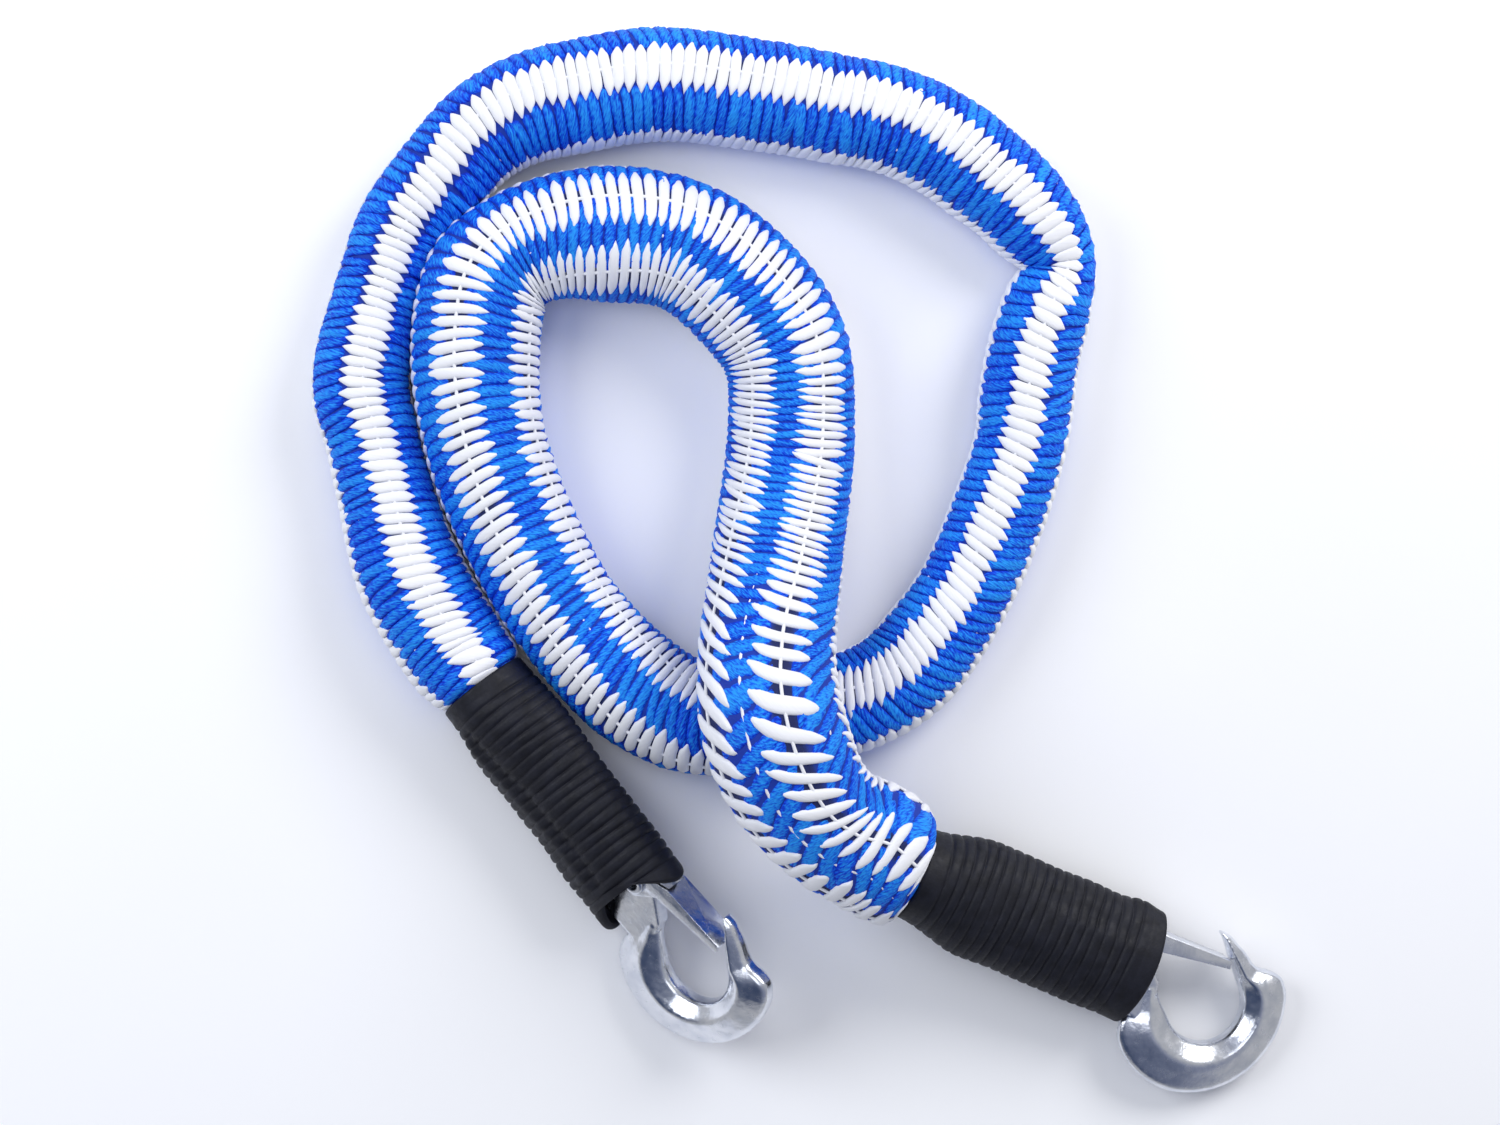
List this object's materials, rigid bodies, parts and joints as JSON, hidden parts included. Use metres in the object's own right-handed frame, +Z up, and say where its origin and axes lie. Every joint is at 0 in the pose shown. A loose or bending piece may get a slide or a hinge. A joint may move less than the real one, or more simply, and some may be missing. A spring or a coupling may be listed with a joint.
{
  "type": "elastic tow rope",
  "caption": "Elastic tow rope with a braided sheath over rubber strands, lying in a crossed loop, with a sleeved snap hook on each end.",
  "frame": {"origin": "middle of the box round the rope as it lies, at floor level", "axes": "+Z up from the floor the rope lies on, +Y away from the hooks, +X from the left hook towards the right hook"},
  "size_m": [0.3298, 0.3638, 0.0802],
  "materials": {
    "braid": "braided polypropylene yarn, bright blue and white",
    "core_rubber": "natural rubber",
    "sleeve": "black shrink sleeve, satin",
    "whipping": "black cord",
    "zinc_steel": "bright zinc plate",
    "spring_steel": "bright spring wire"
  },
  "bodies": {
    "rope": {"rope_sheath": "braid", "core_strand_1": "core_rubber", "core_strand_2": "core_rubber", "core_strand_3": "core_rubber", "core_strand_4": "core_rubber", "core_strand_5": "core_rubber", "left_sleeve": "sleeve", "left_braid_loop": "braid", "left_whipping": "whipping", "left_hook": "zinc_steel", "left_latch_pin": "zinc_steel", "left_latch_spring": "spring_steel", "right_sleeve": "sleeve", "right_braid_loop": "braid", "right_whipping": "whipping", "right_hook": "zinc_steel", "right_latch_pin": "zinc_steel", "right_latch_spring": "spring_steel"},
    "left_gate": {"left_latch": "zinc_steel"},
    "right_gate": {"right_latch": "zinc_steel"}
  },
  "joints": [
    {"name": "left_latch_hinge", "type": "hinge", "parent": "rope", "child": "left_gate", "pos_m": [-0.05406, -0.106, 0.02564], "axis": [0.54, 0.3521, -0.7644], "range_deg": [0, 35], "stiffness_Nm_per_rad": 0.06, "springref_deg": -20.05, "deforming": ["left_latch_spring"]},
    {"name": "right_latch_hinge", "type": "hinge", "parent": "rope", "child": "right_gate", "pos_m": [0.10861, -0.13015, 0.01788], "axis": [-0.1402, 0.1374, -0.9805], "range_deg": [0, 35], "stiffness_Nm_per_rad": 0.06, "springref_deg": -20.05, "deforming": ["right_latch_spring"]}
  ]
}
